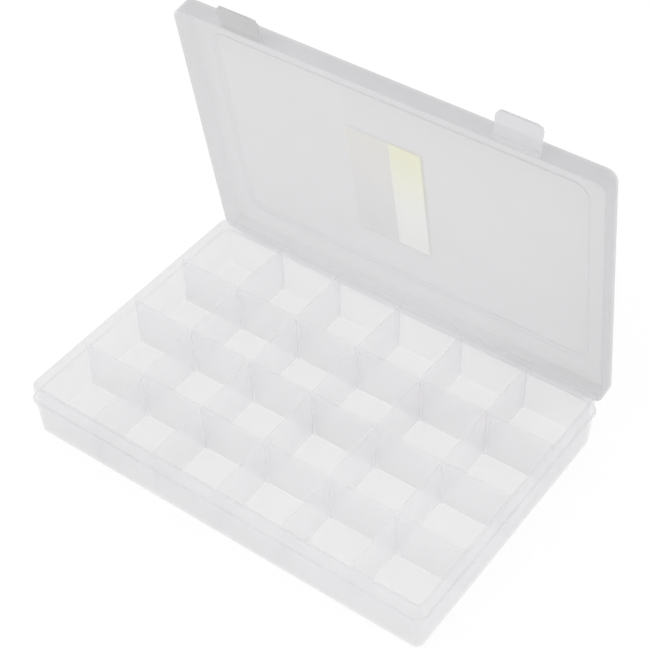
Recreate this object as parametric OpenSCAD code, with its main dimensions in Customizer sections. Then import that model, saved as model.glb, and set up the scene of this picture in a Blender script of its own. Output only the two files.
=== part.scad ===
// Clear sorting box for embroidery thread: a tray of twenty-four cells under a hinged lid.
// Origin: centre of the underside. +X runs along the hinge, +Y points back to it, +Z is up.
// The lid, its skirt and the latches are drawn shut and then swung to the angle that they rest at.

/* [Tray] */
// Length of the tray across the outside of its lip
tray_l = 271; // [240:1:300]
// Width of the tray across the outside of its lip
tray_w = 181; // [160:1:210]
// Height of the tray to the top of its lip
tray_h = 38; // [32:0.5:60]
// Corner radius of the lip, seen from above
corner_r = 5.5; // [5:0.5:12]
// Thickness of the tray wall at the lip
wall = 2; // [1.6:0.1:3]
// Thickness of the floor
floor_t = 1.8; // [1.2:0.1:3]
// How far the outside of the wall leans in from lip to floor
draft = 0.8; // [0.2:0.1:1]
// Radius along the bottom edge
base_r = 2.5; // [1.5:0.5:3]
// Height of the lip above the ledge that the lid sits on
lip_h = 10.4; // [8:0.2:14]
// Thickness of the ledge
ledge_t = 2; // [1.4:0.1:3]

/* [Cells] */
// Number of cells along the length
columns = 6; // [4:1:7]
// Thickness of the long walls that are moulded in
row_wall_t = 1.4; // [1:0.1:2]
// Thickness of a loose divider
divider_t = 1; // [0.8:0.1:1.4]
// Drop from the top of the lip to the top of the walls and dividers
divider_drop = 2; // [1:0.5:5]
// How far a slot rib stands out from its wall
rib_out = 1.1; // [0.8:0.1:1.6]
// Width of a slot rib
rib_w = 1.2; // [0.8:0.1:1.6]
// Play between a divider and each side of its slot
slot_play = 0.2; // [0.1:0.05:0.4]
// Play between a divider and the walls at its ends
end_play = 0.25; // [0.2:0.05:0.5]
// Corner cut at the foot of a divider
foot_cut = 2; // [1:0.5:4]
// Corner radius at the top of a divider
divider_r = 1.5; // [1:0.5:3]

/* [Lid] */
// Thickness of the lid skirt
skirt_t = 1.2; // [1:0.1:1.8]
// Thickness of the lid panel
panel_t = 1.6; // [1.2:0.1:2.4]
// Play between the lip and the inside of the skirt
lip_play = 0.3; // [0.3:0.05:0.6]
// Gap between the top of the lip and the underside of the lid
lid_gap = 0.6; // [0.4:0.1:1.5]
// Gap between the ledge and the edge of the skirt
seat_gap = 0.3; // [0.2:0.05:0.5]
// Radius along the top edge of the lid
shoulder_r = 2; // [1.5:0.5:3]
// How far the middle field of the lid is let in
field_drop = 1; // [0.6:0.1:1.4]
// Border from the side edges of the lid to the middle field
field_side = 17; // [12:1:24]
// Border from the front and rear edges of the lid to the middle field
field_end = 20; // [14:1:28]
// Corner radius of the middle field
field_r = 8; // [4:1:14]
// Angle that the lid stands open at
open_angle = 80.4; // [0:0.1:180]

/* [Hinge] */
// Distance from the ledge edge to the fold line
fold_out = 0.9; // [0.8:0.1:1.4]
// Thickness of the flexible webs
web_t = 0.5; // [0.4:0.05:0.7]
// Space left between a web and the edges that it joins
web_seat = 0.08; // [0.05:0.01:0.15]

/* [Latches] */
// Width of a latch flap
latch_w = 27; // [20:1:36]
// Length of a latch flap
latch_l = 17.5; // [14:0.5:22]
// Thickness of a latch flap
latch_t = 1.8; // [1.4:0.1:2.4]
// Distance from the middle of the box to the middle of each latch
latch_x = 86; // [60:1:100]
// How far the catch of a latch reaches in under the ledge
catch_in = 1.1; // [0.8:0.1:1.2]
// Height of the catch
catch_h = 1.8; // [1.4:0.1:3]
// Gap between a shut latch and the ledge
latch_gap = 0.3; // [0.2:0.05:0.4]
// Corner radius of a flap
latch_r = 4; // [2:0.5:6]
// Height of the grip ridges on a flap
ridge_h = 0.5; // [0.3:0.1:0.8]
// Angle of the left flap from flat, towards shut
left_tilt = 10; // [-30:1:80]
// Angle of the right flap from flat, towards shut
right_tilt = -12; // [-30:1:80]

/* [Label] */
// Width of the label
label_w = 52; // [30:1:80]
// Length of the label from front to rear
label_l = 84; // [50:1:110]
// Thickness of the label
label_t = 0.15; // [0.1:0.05:0.3]
// Distance from the middle of the lid to the middle of the label
label_x = -8; // [-40:1:40]
// Corner radius of the label
label_r = 2; // [1:0.5:5]

/* [Hidden] */
$fn = 64;
rows = 4;
ledge_out = skirt_t + lip_play;
ledge_z = tray_h - lip_h;
inner_l = tray_l - 2 * wall;
inner_w = tray_w - 2 * wall;
cell_l = (inner_l - (columns - 1) * divider_t) / columns;
cell_w = (inner_w - (rows - 1) * row_wall_t) / rows;
column_pitch = cell_l + divider_t;
row_pitch = cell_w + row_wall_t;
divider_top = tray_h - divider_drop;
divider_gap = 0.2;
overlap = 1;
lip_bevel = 0.5;
ledge_bevel = 0.3;
plate_in = draft + base_r + overlap;
lid_l = tray_l + 2 * ledge_out;
lid_w = tray_w + 2 * ledge_out;
lid_r = corner_r + ledge_out;
skirt_z = ledge_z + seat_gap;
panel_z = tray_h + lid_gap;
rim = lid_r - 0.5;
field_t = 0.9 * panel_t;
lid_top = panel_z + panel_t;
fold_y = lid_w / 2 + fold_out;
fold_z = skirt_z;
field_l = lid_l - 2 * field_side;
field_w = lid_w - 2 * field_end;
flap_low = latch_gap - fold_out;
flap_root = fold_out;
root_bevel = 0.6;
flap_web_z = 0.6;
flap_web_low = flap_low + 0.2;
catch_top = seat_gap + ledge_t + latch_gap;
catch_tip = flap_low - latch_gap - catch_in;
web_end = corner_r + 6;
web_low = 0.5 * web_t;
web_high = 1.5 * web_t;
web_inset = 1;
catch_lead = 0.4;
ridge_count = 3;
ridge_w = 0.9;
ridge_step = 2.2;
clear_plastic = [0.9, 0.91, 0.92, 0.6];
lid_plastic = [0.86, 0.87, 0.89, 0.6];
label_paper = [0.95, 0.93, 0.75];

function divider_name(r, c) = str("divider_", r, "_", c);

// A point of the shut lid, in y and z, after the lid has swung open about its fold line
function swing(p, a, at) = [
    at[0] + (p[0] - at[0]) * cos(a) + (p[1] - at[1]) * sin(a),
    at[1] - (p[0] - at[0]) * sin(a) + (p[1] - at[1]) * cos(a)
];

// Carries a 2D profile round a rounded rectangle: x = 0 is its edge, y is height
module sweep_round(l, w, r) {
    for (k = [0 : 3]) {
        even = k % 2 == 0;
        rotate([0, 0, 90 * k])
            translate([(even ? l : w) / 2, 0, 0])
                rotate([90, 0, 0])
                    linear_extrude((even ? w : l) - 2 * r, center = true)
                        children();
        rotate([0, 0, 90 * k])
            translate([(even ? l : w) / 2 - r, (even ? w : l) / 2 - r, 0])
                rotate_extrude(angle = 90)
                    translate([r, 0])
                        children();
    }
}

module rounded_plate(l, w, r, t) {
    linear_extrude(t)
        union() {
            square([l - 2 * r, w], center = true);
            square([l, w - 2 * r], center = true);
            for (sx = [-1, 1])
                for (sy = [-1, 1])
                    translate([sx * (l / 2 - r), sy * (w / 2 - r)])
                        circle(r);
        }
}

// Section of the tray wall: rounded foot, leaning wall, ledge and lip
module tray_profile() {
    foot = draft + base_r;
    difference() {
        union() {
            polygon([
                [-plate_in, 0],
                [-foot, 0],
                [-foot, base_r],
                [-draft, base_r],
                [0, ledge_z - ledge_t],
                [ledge_out - ledge_bevel, ledge_z - ledge_t],
                [ledge_out, ledge_z - ledge_t + ledge_bevel],
                [ledge_out, ledge_z],
                [0, ledge_z],
                [0, tray_h - lip_bevel],
                [-lip_bevel, tray_h],
                [-plate_in, tray_h]
            ]);
            intersection() {
                translate([-foot, base_r])
                    circle(base_r);
                translate([-foot, 0])
                    square(base_r);
            }
        }
        polygon([
            [-plate_in - overlap, floor_t],
            [-wall, floor_t],
            [-wall, tray_h - lip_bevel / 2],
            [-wall + lip_bevel / 2, tray_h],
            [-wall + lip_bevel / 2, tray_h + overlap],
            [-plate_in - overlap, tray_h + overlap]
        ]);
    }
}

// Two ribs on a wall that faces +Y, which hold the end of a divider between them
module slot_ribs() {
    slot = divider_t / 2 + slot_play;
    for (s = [-1, 1])
        translate([s * (slot + rib_w / 2), 0, floor_t])
            rotate([90, 0, 90])
                linear_extrude(rib_w, center = true)
                    polygon([
                        [0, 0],
                        [rib_out, 0],
                        [rib_out, divider_top - floor_t - 2 * rib_out],
                        [0, divider_top - floor_t - rib_out]
                    ]);
}

module all_slots(y, turn) {
    for (c = [1 : columns - 1])
        translate([(c - columns / 2) * column_pitch, y, 0])
            rotate([0, 0, turn])
                slot_ribs();
}

module tray_shell() {
    color(clear_plastic) {
        sweep_round(tray_l, tray_w, corner_r)
            tray_profile();
        rounded_plate(
            tray_l - 2 * plate_in,
            tray_w - 2 * plate_in,
            corner_r - plate_in,
            floor_t
        );
        all_slots(-inner_w / 2, 0);
        all_slots(inner_w / 2, 180);
    }
}

module row_wall(i) {
    y = (i - rows / 2) * row_pitch;
    color(clear_plastic) {
        translate([0, y, floor_t])
            linear_extrude(divider_top - floor_t)
                square([inner_l, row_wall_t], center = true);
        all_slots(y + row_wall_t / 2, 0);
        all_slots(y - row_wall_t / 2, 180);
    }
}

// A loose divider: cut corners at its foot, rounded corners at its top
module divider(r, c) {
    w = cell_w - 2 * end_play;
    h = divider_top - floor_t - divider_gap;
    x = (c - columns / 2) * column_pitch;
    y = (r - (rows + 1) / 2) * row_pitch;
    color(clear_plastic)
        translate([x, y, floor_t + divider_gap])
            rotate([90, 0, 90])
                linear_extrude(divider_t, center = true)
                    union() {
                        polygon([
                            [-w / 2 + foot_cut, 0],
                            [w / 2 - foot_cut, 0],
                            [w / 2, foot_cut],
                            [w / 2, h - divider_r],
                            [-w / 2, h - divider_r],
                            [-w / 2, foot_cut]
                        ]);
                        translate([-w / 2 + divider_r, h - divider_r - overlap])
                            square([w - 2 * divider_r, divider_r + overlap]);
                        for (s = [-1, 1])
                            translate([s * (w / 2 - divider_r), h - divider_r])
                                circle(divider_r);
                    }
}

// Swings what is drawn shut to the angle that the lid stands at
module lid_open() {
    translate([0, fold_y, fold_z])
        rotate([-open_angle, 0, 0])
            translate([0, -fold_y, -fold_z])
                children();
}

// Section of the lid edge: skirt, rounded shoulder and the rim of the panel
module lid_profile() {
    bend_z = lid_top - shoulder_r;
    difference() {
        union() {
            translate([-rim, skirt_z])
                square([rim, bend_z - skirt_z]);
            translate([-rim, bend_z])
                square([rim - shoulder_r, shoulder_r]);
            intersection() {
                translate([-shoulder_r, bend_z])
                    circle(shoulder_r);
                translate([-shoulder_r, bend_z])
                    square(shoulder_r);
            }
        }
        translate([-rim - overlap, skirt_z - overlap])
            square([rim + overlap - skirt_t, panel_z - skirt_z + overlap]);
    }
}

module lid_shell() {
    color(lid_plastic)
        lid_open()
            difference() {
                union() {
                    sweep_round(lid_l, lid_w, lid_r)
                        lid_profile();
                    translate([0, 0, panel_z])
                        rounded_plate(lid_l - 2 * rim, lid_w - 2 * rim, lid_r - rim, panel_t);
                    translate([0, 0, lid_top - field_drop - field_t])
                        rounded_plate(
                            field_l + 2 * field_t,
                            field_w + 2 * field_t,
                            field_r + field_t,
                            field_t
                        );
                }
                translate([0, 0, lid_top - field_drop])
                    rounded_plate(field_l, field_w, field_r, field_drop + overlap);
            }
}

module lid_label() {
    color(label_paper)
        lid_open()
            translate([label_x, 0, lid_top - field_drop])
                rounded_plate(label_w, label_l, label_r, label_t);
}

// Strip that joins the rear of the ledge to the rear of the skirt and bends as the lid moves
module hinge_web() {
    at = [fold_y, fold_z];
    ledge_y = lid_w / 2 + web_seat;
    color(clear_plastic)
        rotate([90, 0, 90])
            linear_extrude(lid_l - 2 * web_end, center = true)
                polygon([
                    [ledge_y, ledge_z - web_high],
                    [ledge_y + web_t, ledge_z - web_high],
                    swing([ledge_y + web_t, skirt_z + web_high], open_angle, at),
                    swing([ledge_y, skirt_z + web_high], open_angle, at),
                    swing([ledge_y, skirt_z], open_angle, at),
                    [ledge_y, ledge_z - web_low]
                ]);
}

// Puts a flap, drawn flat from the fold line out, at the front edge of the lid
module at_front(x, tilt) {
    lid_open()
        translate([x, -fold_y, fold_z])
            rotate([tilt, 0, 0])
                children();
}

// Section of a latch: flap, catch on its inner face and grip ridges on its outer face
module latch_profile() {
    flap_top = flap_low + latch_t;
    tip = flap_root + latch_l;
    ridges = [
        for (i = [0 : ridge_count - 1])
            let (y = -tip + ridge_step * (i + 0.5))
                each [
                    [y, flap_top],
                    [y, flap_top + ridge_h],
                    [y + ridge_w, flap_top + ridge_h],
                    [y + ridge_w, flap_top]
                ]
    ];
    polygon(concat(
        [
            [-flap_root - root_bevel, flap_top],
            [-flap_root, flap_top - root_bevel],
            [-flap_root, flap_low],
            [-catch_top, flap_low],
            [-catch_top, catch_tip],
            [-catch_top - catch_lead, catch_tip],
            [-catch_top - catch_h, flap_low],
            [-tip, flap_low],
            [-tip, flap_top]
        ],
        ridges
    ));
}

module latch(x, tilt) {
    color(lid_plastic)
        at_front(x, tilt)
            intersection() {
                rotate([90, 0, 90])
                    linear_extrude(latch_w, center = true)
                        latch_profile();
                translate([0, -flap_root - latch_l / 2, catch_tip - overlap])
                    linear_extrude(latch_t - catch_tip + ridge_h + 2 * overlap)
                        union() {
                            translate([0, latch_r / 2])
                                square([latch_w, latch_l - latch_r], center = true);
                            square([latch_w - 2 * latch_r, latch_l], center = true);
                            for (s = [-1, 1])
                                translate([s * (latch_w / 2 - latch_r), -latch_l / 2 + latch_r])
                                    circle(latch_r);
                        }
            }
}

// Strip that joins the front edge of the skirt to the root of a flap
module latch_web(x, tilt) {
    edge = fold_out - web_seat;
    root = flap_root - web_seat;
    color(lid_plastic)
        lid_open()
            translate([x, -fold_y, fold_z])
                rotate([90, 0, 90])
                    linear_extrude(latch_w - 2 * web_inset, center = true)
                        polygon([
                            [edge, flap_web_z],
                            swing([-root, flap_web_low + web_t], -tilt, [0, 0]),
                            swing([-root, flap_web_low], -tilt, [0, 0]),
                            [edge, flap_web_z - web_t]
                        ]);
}

tray_shell();
row_wall(1);  // row_wall_1
row_wall(2);  // row_wall_2
row_wall(3);  // row_wall_3
hinge_web();
lid_shell();
lid_label();
latch(-latch_x, left_tilt);  // latch_left
latch(latch_x, right_tilt);  // latch_right
latch_web(-latch_x, left_tilt);  // latch_web_left
latch_web(latch_x, right_tilt);  // latch_web_right
for (r = [1 : rows])
    for (c = [1 : columns - 1])
        divider(r, c);
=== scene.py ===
import math

import bpy
from mathutils import Matrix, Vector


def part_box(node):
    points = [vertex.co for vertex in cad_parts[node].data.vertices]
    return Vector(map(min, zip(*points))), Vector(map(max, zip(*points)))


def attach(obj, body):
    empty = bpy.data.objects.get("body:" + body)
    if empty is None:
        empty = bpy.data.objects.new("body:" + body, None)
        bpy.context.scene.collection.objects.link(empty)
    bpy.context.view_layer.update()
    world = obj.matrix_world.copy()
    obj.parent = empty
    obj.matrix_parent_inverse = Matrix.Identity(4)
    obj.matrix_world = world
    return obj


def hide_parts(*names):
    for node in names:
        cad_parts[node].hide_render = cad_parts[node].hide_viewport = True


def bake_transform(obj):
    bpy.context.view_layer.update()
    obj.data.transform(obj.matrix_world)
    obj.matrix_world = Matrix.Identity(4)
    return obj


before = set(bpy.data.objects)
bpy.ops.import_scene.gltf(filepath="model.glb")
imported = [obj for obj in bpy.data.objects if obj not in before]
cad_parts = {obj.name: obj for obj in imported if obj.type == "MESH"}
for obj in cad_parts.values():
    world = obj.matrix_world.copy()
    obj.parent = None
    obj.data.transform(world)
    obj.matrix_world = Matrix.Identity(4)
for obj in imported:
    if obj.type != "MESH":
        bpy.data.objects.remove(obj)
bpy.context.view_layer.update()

scene = bpy.context.scene
scene.view_settings.view_transform = "Standard"

# The camera stands in front of the box, to its right and above it, about a metre off, with a long lens.
# Its place was solved from the outlines of the tray and the open lid in the photograph.
SENSOR_MM = 36.0
FOCAL_PX = 1614.0
FRAME_PX = 650
RAISED_PX = 1.2
EYE = Vector((0.390623, -0.496242, 0.710098))
LOOK = Vector((-0.433191, 0.566127, -0.701317)).normalized()
SIDE = Vector((0.806558, 0.590771, -0.021306))
camera_data = bpy.data.cameras.new("camera")
camera_data.sensor_width = SENSOR_MM
camera_data.lens = SENSOR_MM * FOCAL_PX / FRAME_PX
camera_data.shift_y = RAISED_PX / FRAME_PX
camera_data.clip_start = 0.05
camera_data.clip_end = 20
camera = bpy.data.objects.new("camera", camera_data)
scene.collection.objects.link(camera)
side = (SIDE - SIDE.dot(LOOK) * LOOK).normalized()
turn = Matrix((side, side.cross(LOOK), -LOOK)).transposed()
camera.matrix_world = Matrix.Translation(EYE) @ turn.to_4x4()
scene.camera = camera


# The studio is a white table under even white light from all round, as for a catalogue picture.
# What the camera sees of it is white, and a share of real shade keeps the box on the table.
def linear(code):
    """An sRGB hex colour as linear RGBA."""
    parts = [int(code[i : i + 2], 16) / 255 for i in (0, 2, 4)]
    return (*[c / 12.92 if c <= 0.04045 else ((c + 0.055) / 1.055) ** 2.4 for c in parts], 1.0)


def add(tree, kind, links=(), values=(), output=0, **settings):
    """Adds a shader node with its own settings, its values and its links, and returns one output."""
    made = tree.nodes.new(kind)
    for name, value in settings.items():
        setattr(made, name, value)
    for socket, value in values:
        made.inputs[socket].default_value = value
    for source, socket in links:
        tree.links.new(source, made.inputs[socket])
    return made.outputs[output]


def new_material(name):
    """An empty node material: the material, its tree and the surface socket of its output."""
    made = bpy.data.materials.new(name)
    made.use_nodes = True
    made.node_tree.nodes.clear()
    out = made.node_tree.nodes.new("ShaderNodeOutputMaterial")
    return made, made.node_tree, out.inputs["Surface"]


def straight_to_eye(tree):
    """1 for what the camera sees straight, in a gloss or through clear plastic, else 0."""
    seen = add(tree, "ShaderNodeLightPath", output="Is Camera Ray")
    for name in ("Is Glossy Ray", "Is Transmission Ray"):
        ray = add(tree, "ShaderNodeLightPath", output=name)
        seen = add(tree, "ShaderNodeMath", [(seen, 0), (ray, 1)], operation="MAXIMUM")
    return seen


# A line of sight crosses a dozen or more clear surfaces here, and only eight are followed unasked.
scene.cycles.transparent_max_bounces = 32
WHITE = linear("ffffff")
ROOM_LIGHT = 0.95
world = bpy.data.worlds.new("studio")
scene.world = world
world.use_nodes = True
tree = world.node_tree
tree.nodes.clear()
room = add(tree, "ShaderNodeBackground", values=[("Color", WHITE), ("Strength", ROOM_LIGHT)])
backdrop = add(tree, "ShaderNodeBackground", values=[("Color", WHITE), ("Strength", 1.0)])
both = add(tree, "ShaderNodeMixShader", [(straight_to_eye(tree), 0), (room, 1), (backdrop, 2)])
out = tree.nodes.new("ShaderNodeOutputWorld")
tree.links.new(both, out.inputs["Surface"])

SHADE = 0.22
TABLE_SIZE = 6
TABLE_TOP = -0.0003
bpy.ops.object.select_all(action="DESELECT")
bpy.ops.mesh.primitive_plane_add(size=TABLE_SIZE, location=(0, 0, TABLE_TOP))
table = bpy.context.object
table.name = "table"
white_card, tree, surface = new_material("white_card")
card = add(tree, "ShaderNodeBsdfDiffuse", values=[("Color", linear("f6f6f6"))])
bright = add(tree, "ShaderNodeEmission", values=[("Color", WHITE), ("Strength", 1.02)])
share = add(
    tree, "ShaderNodeMath", [(straight_to_eye(tree), 0)], [(1, 1 - SHADE)], operation="MULTIPLY"
)
both = add(tree, "ShaderNodeMixShader", [(share, 0), (card, 1), (bright, 2)])
tree.links.new(both, surface)
table.data.materials.append(white_card)

# Two broad lamps give the walls a light and a less light side: a name, a place, a width and a power.
LIT_POINT = Vector((0, 0, 0.05))
for name, place, size, power in (
    ("window_light", (-0.9, -1.1, 1.7), 1.4, 5.5),
    ("reflector", (1.4, -0.3, 1.1), 1.2, 2.5),
):
    lamp_data = bpy.data.lights.new(name, "AREA")
    lamp_data.size = size
    lamp_data.energy = power
    lamp = bpy.data.objects.new(name, lamp_data)
    scene.collection.objects.link(lamp)
    lamp.location = place
    lamp.rotation_euler = (LIT_POINT - Vector(place)).to_track_quat("-Z", "Y").to_euler()


# Tray: one shallow moulding in natural polypropylene, 2 mm thick, with a ledge 10 mm below its lip.
# Three long walls are moulded in. The mould is blasted, so the plastic is cloudy and its gloss soft.
# Each piece is a merged copy of its solid, with the small radius that a moulding has on every edge.
MM = 0.001
SHELL_EDGE = 0.3 * MM
PLATE_EDGE = 0.2 * MM
SMOOTH_UP_TO = math.radians(32)


def merged(name):
    """A copy of a CAD node with its double points merged and its flat triangles dissolved."""
    part = bpy.data.objects.new("moulded_" + name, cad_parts[name].data.copy())
    scene.collection.objects.link(part)
    part.data.materials.clear()
    bpy.ops.object.select_all(action="DESELECT")
    part.select_set(True)
    bpy.context.view_layer.objects.active = part
    bpy.ops.object.mode_set(mode="EDIT")
    bpy.ops.mesh.select_all(action="SELECT")
    bpy.ops.mesh.remove_doubles(threshold=0.01 * MM)
    bpy.ops.mesh.dissolve_limited(angle_limit=math.radians(0.5))
    bpy.ops.object.mode_set(mode="OBJECT")
    return part


def moulded(name, body, edge):
    """A merged copy of a CAD node with its edges rounded, that rides its body."""
    part = merged(name)
    bevel = part.modifiers.new("edges", "BEVEL")
    bevel.width = edge
    bevel.segments = 2
    bevel.limit_method = "ANGLE"
    bevel.angle_limit = math.radians(40)
    bpy.ops.object.modifier_apply(modifier=bevel.name)
    bpy.ops.object.shade_smooth_by_angle(angle=SMOOTH_UP_TO)
    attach(part, body)
    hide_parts(name)
    return part


# The flow marks are broad and hardly darker. The grain of the blasted mould is drawn at 0.9 mm,
# coarser than the real 0.1 mm, so that it shows at all. Half of what is scattered goes on through.
FLOW_SHADE = 0.04
GRAIN = 0.9 * MM
GRAIN_HEIGHT = 0.04 * MM
SPREAD = 0.5
PLASTIC_IOR = 1.49


def cloudy_plastic(name, tint, passes, roughness, flow, colour=None):
    """Blasted polypropylene as one thin sheet: a share passes straight and the rest is scattered.
    Each wall acts once, where light enters it, and its far face lets the light out as it is."""
    made, tree, surface = new_material(name)
    place = add(tree, "ShaderNodeTexCoord", output="Object")
    marks = add(
        tree,
        "ShaderNodeTexNoise",
        [(place, "Vector")],
        [("Scale", 1 / flow), ("Detail", 3.0), ("Distortion", 0.6)],
    )
    shade = add(
        tree,
        "ShaderNodeMapRange",
        [(marks, "Value")],
        [("From Min", 0.3), ("From Max", 0.7), ("To Min", 1 - FLOW_SHADE), ("To Max", 1.0)],
    )
    tinted = add(
        tree,
        "ShaderNodeVectorMath",
        [(shade, 1)] + ([(colour(tree, place, tint), 0)] if colour else []),
        [] if colour else [(0, linear(tint)[:3])],
        operation="MULTIPLY",
    )
    grain = add(
        tree, "ShaderNodeTexNoise", [(place, "Vector")], [("Scale", 1 / GRAIN), ("Detail", 2.0)]
    )
    bump = add(
        tree,
        "ShaderNodeBump",
        [(grain, "Height")],
        [("Strength", 0.15), ("Distance", GRAIN_HEIGHT)],
    )
    skin = add(
        tree,
        "ShaderNodeBsdfPrincipled",
        [(tinted, "Base Color"), (bump, "Normal")],
        [("Roughness", roughness), ("IOR", PLASTIC_IOR)],
    )
    glow = add(tree, "ShaderNodeBsdfTranslucent", [(tinted, "Color"), (bump, "Normal")])
    cloud = add(tree, "ShaderNodeMixShader", [(skin, 1), (glow, 2)], [(0, SPREAD)])
    clear = add(tree, "ShaderNodeBsdfTransparent", values=[("Color", WHITE)])
    near_face = add(tree, "ShaderNodeMixShader", [(cloud, 1), (clear, 2)], [(0, passes)])
    behind = add(tree, "ShaderNodeNewGeometry", output="Backfacing")
    sheet = add(tree, "ShaderNodeMixShader", [(behind, 0), (near_face, 1), (clear, 2)])
    tree.links.new(sheet, surface)
    return made


# The outer walls are greyer and less clear than the floor and the row walls, which get a paler, clearer
# copy of the tray plastic: painted light, for the light the white table sends up through the floor and
# into the cells.
FLOOR_TOP = 2 * MM
LIES_FLAT = 0.9
tray_plastic = cloudy_plastic("cloudy_tray_polypropylene", "f5f4f6", 0.42, 0.55, 60 * MM)
inner_plastic_painted_light = cloudy_plastic("clearer_inner_polypropylene_painted_light", "fbfafc", 0.6, 0.5, 60 * MM)
tray = moulded("tray_shell", "tray", SHELL_EDGE)
tray.data.materials.append(tray_plastic)
tray.data.materials.append(inner_plastic_painted_light)
# The floor's flat faces take the paler copy, which is painted light; so do the row walls below.
for face in tray.data.polygons:
    if abs(face.normal.z) > LIES_FLAT and face.center.z < FLOOR_TOP:
        face.material_index = 1
for number in (1, 2, 3):
    row_wall = moulded(f"row_wall_{number}", "tray", PLATE_EDGE)
    row_wall.data.materials.append(inner_plastic_painted_light)


# Dividers: twenty loose plates, 1 mm thick, that drop into the slots between the ribs of the walls.
# They are stamped from thin sheet, a little clearer than the tray, with rounded top corners.
# Few are quite flat: each bows a little between its slots, and one at the front is sprung to an S.
ROWS = 4
DIVIDERS_IN_ROW = 5
SPRUNG = (1, 5)
S_BOW = 0.9 * MM
PLAIN_BOW = 0.45 * MM
STRIPS = 12
HELD_END = 3 * MM
PICK_WITHIN = 0.1 * MM
divider_plastic = cloudy_plastic("cloudy_divider_sheet", "fcfbfd", 0.64, 0.5, 30 * MM)


def bow(divider, name, pushes):
    """Bows a divider between its slots. A push has a place and a reach, as shares of the width, and
    how far it goes. The ends stay straight in their slots."""
    low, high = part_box(name)
    bpy.ops.object.mode_set(mode="EDIT")
    for cut in range(1, STRIPS):
        bpy.ops.mesh.select_all(action="SELECT")
        at = low.y + (high.y - low.y) * cut / STRIPS
        bpy.ops.mesh.bisect(plane_co=(0, at, 0), plane_no=(0, 1, 0))
    for share, reach, push in pushes:
        at = low.y + (high.y - low.y) * share
        bpy.ops.mesh.select_all(action="DESELECT")
        bpy.ops.object.mode_set(mode="OBJECT")
        for point in divider.data.vertices:
            point.select = abs(point.co.y - at) < PICK_WITHIN
        bpy.ops.object.mode_set(mode="EDIT")
        bpy.ops.transform.translate(
            value=(push, 0, 0),
            use_proportional_edit=True,
            proportional_edit_falloff="SMOOTH",
            proportional_size=reach * (high.y - low.y) - HELD_END,
        )
    bpy.ops.object.mode_set(mode="OBJECT")


for row in range(1, ROWS + 1):
    for column in range(1, DIVIDERS_IN_ROW + 1):
        name = f"divider_{row}_{column}"
        divider = moulded(name, name, PLATE_EDGE)
        if (row, column) == SPRUNG:
            bow(divider, name, ((1 / 3, 1 / 3, S_BOW), (2 / 3, 1 / 3, -S_BOW)))
        else:
            each_its_own = math.sin(2.1 * row + 1.7 * column)
            bow(divider, name, ((1 / 2, 1 / 2, PLAIN_BOW * each_its_own),))
        divider.data.materials.append(divider_plastic)


# Lid: a moulded panel with a skirt that drops over the lip of the tray and rests on the ledge.
# Its middle field is let in by 1 mm. The plastic is greyer than the tray's and lets less light by.
# The paper label on its outside backs the cloudy sheet, and the sheet's colour is painted paler there:
# painted light, for the light the paper sends back through it.
LABEL_EDGE = 1.2 * MM
BAND_EDGE = 0.5 * MM
BAND_START = 0.58
WARM_FROM = 0.4
PAINTED_LIGHT_OFF_BAND = 0.56
# The places of a Mix node's two colours and of its colour result.
MIX_A, MIX_B, MIX_RESULT = 6, 7, 2
label_low, label_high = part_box("lid_label")
band_x = label_low.x + BAND_START * (label_high.x - label_low.x)
warm_z = label_low.z + WARM_FROM * (label_high.z - label_low.z)


def label_print(tree, place):
    """Two shares on the label: 1 on its pale band at the right, and 0 to 1 up the band."""
    shares = []
    for axis, start, end in (
        ("X", band_x - BAND_EDGE, band_x + BAND_EDGE),
        ("Z", warm_z, label_high.z),
    ):
        along = add(tree, "ShaderNodeSeparateXYZ", [(place, 0)], output=axis)
        ends = [("From Min", start), ("From Max", end)]
        shares.append(add(tree, "ShaderNodeMapRange", [(along, "Value")], ends))
    return shares


def painted_light_behind_label(tree, place, tint):
    """The lid's tint with painted light on it: paler where the label backs it and palest along the
    label's band.
    """
    on_band, up_band = label_print(tree, place)
    # Painted light: the lid's colour is made paler over the label.
    painted_backing_light = add(
        tree, "ShaderNodeMapRange", [(on_band, "Value")], [("To Min", PAINTED_LIGHT_OFF_BAND), ("To Max", 1.0)]
    )
    for axis, low, high in (("X", label_low.x, label_high.x), ("Z", label_low.z, label_high.z)):
        along = add(tree, "ShaderNodeSeparateXYZ", [(place, 0)], output=axis)
        for outside, inside in ((low, low + LABEL_EDGE), (high, high - LABEL_EDGE)):
            ends = [("From Min", outside), ("From Max", inside)]
            edge = add(tree, "ShaderNodeMapRange", [(along, "Value")], ends)
            painted_backing_light = add(
                tree, "ShaderNodeMath", [(painted_backing_light, 0), (edge, 1)], operation="MULTIPLY"
            )
    pale = add(
        tree,
        "ShaderNodeMix",
        [(up_band, 0)],
        [(MIX_A, linear("fefefe")), (MIX_B, linear("fefff8"))],
        output=MIX_RESULT,
        data_type="RGBA",
    )
    return add(
        tree,
        "ShaderNodeMix",
        [(painted_backing_light, 0), (pale, MIX_B)],
        [(MIX_A, linear(tint))],
        output=MIX_RESULT,
        data_type="RGBA",
    )


# The lid's colour carries painted light where the label lies behind it.
lid_plastic = cloudy_plastic(
    "cloudy_lid_polypropylene", "e3e2e4", 0.22, 0.55, 90 * MM, colour=painted_light_behind_label
)
lid = moulded("lid_shell", "lid", SHELL_EDGE)
lid.data.materials.append(lid_plastic)


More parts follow.
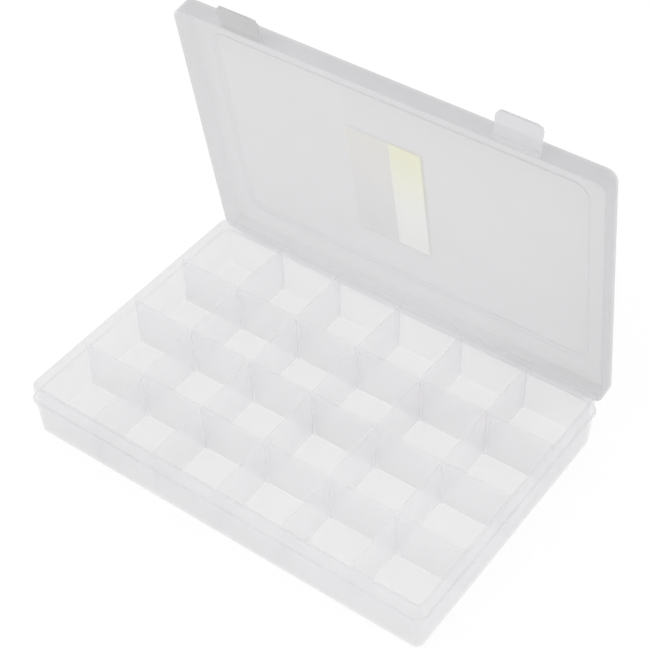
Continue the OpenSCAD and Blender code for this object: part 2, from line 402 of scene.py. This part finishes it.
# Label: plain uncoated paper, stuck on the outside of the lid. It is dull and white and lets a little
# light through, and it has one band that is pale yellow at its top.
PAPER_SPREAD = 0.4
label_paper, tree, surface = new_material("plain_label_paper")
on_band, up_band = label_print(tree, add(tree, "ShaderNodeTexCoord", output="Object"))
band = add(
    tree,
    "ShaderNodeMix",
    [(up_band, 0)],
    [(MIX_A, linear("f9f9f6")), (MIX_B, linear("f6f5d9"))],
    output=MIX_RESULT,
    data_type="RGBA",
)
ink = add(
    tree,
    "ShaderNodeMix",
    [(on_band, 0), (band, MIX_B)],
    [(MIX_A, linear("f6f5f4"))],
    output=MIX_RESULT,
    data_type="RGBA",
)
paper = add(tree, "ShaderNodeBsdfPrincipled", [(ink, "Base Color")], [("Roughness", 0.6)])
glow = add(tree, "ShaderNodeBsdfTranslucent", [(ink, "Color")])
both = add(tree, "ShaderNodeMixShader", [(paper, 1), (glow, 2)], [(0, PAPER_SPREAD)])
tree.links.new(both, surface)
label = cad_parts["lid_label"]
label.data.materials.clear()
label.data.materials.append(label_paper)


# Latches: two flaps, thicker than the lid and so less clear, each on a web at the lid's front edge.
# A catch on the inner face snaps under the ledge of the tray, and three ridges hold the thumb.
# The left flap is tinted greyer than the right, though both are the same plastic: painted shade, as it
# is turned a little differently to the light.
LATCH_EDGE = 0.25 * MM
# The darker tint of the left flap is painted shade.
for name, tint in (("latch_left", "d3d3d4"), ("latch_right", "e6e6e8")):
    latch = moulded(name, name, LATCH_EDGE)
    latch.data.materials.append(cloudy_plastic(f"cloudy_{name}", tint, 0.15, 0.5, 12 * MM))


# Living hinges: three webs, 0.5 mm thin, that bend along one line each: a long one from tray to lid,
# and a short one from the lid to each latch. Working a fold leaves it a little clearer and smoother.
# Each web is cut into strips.
WEB_CUTS = 6
web_plastic = cloudy_plastic("worked_web_polypropylene", "f6f6f8", 0.5, 0.45, 15 * MM)
for name, first, second, start, end in (
    ("hinge_web", "tray", "lid", (0, 92.33, 27.1), (0, 93.3, 28.55)),
    ("latch_web_left", "lid", "latch_left", (0, 62.4, 210.35), (0, 61.5, 211.82)),
    ("latch_web_right", "lid", "latch_right", (0, 62.4, 210.35), (0, 61.8, 211.92)),
):
    web = merged(name)
    bpy.ops.object.mode_set(mode="EDIT")
    bpy.ops.mesh.select_all(action="SELECT")
    bpy.ops.mesh.subdivide(number_cuts=WEB_CUTS)
    bpy.ops.object.mode_set(mode="OBJECT")
    bpy.ops.object.shade_smooth_by_angle(angle=SMOOTH_UP_TO)
    web.data.materials.append(web_plastic)
    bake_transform(web)
    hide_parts(name)
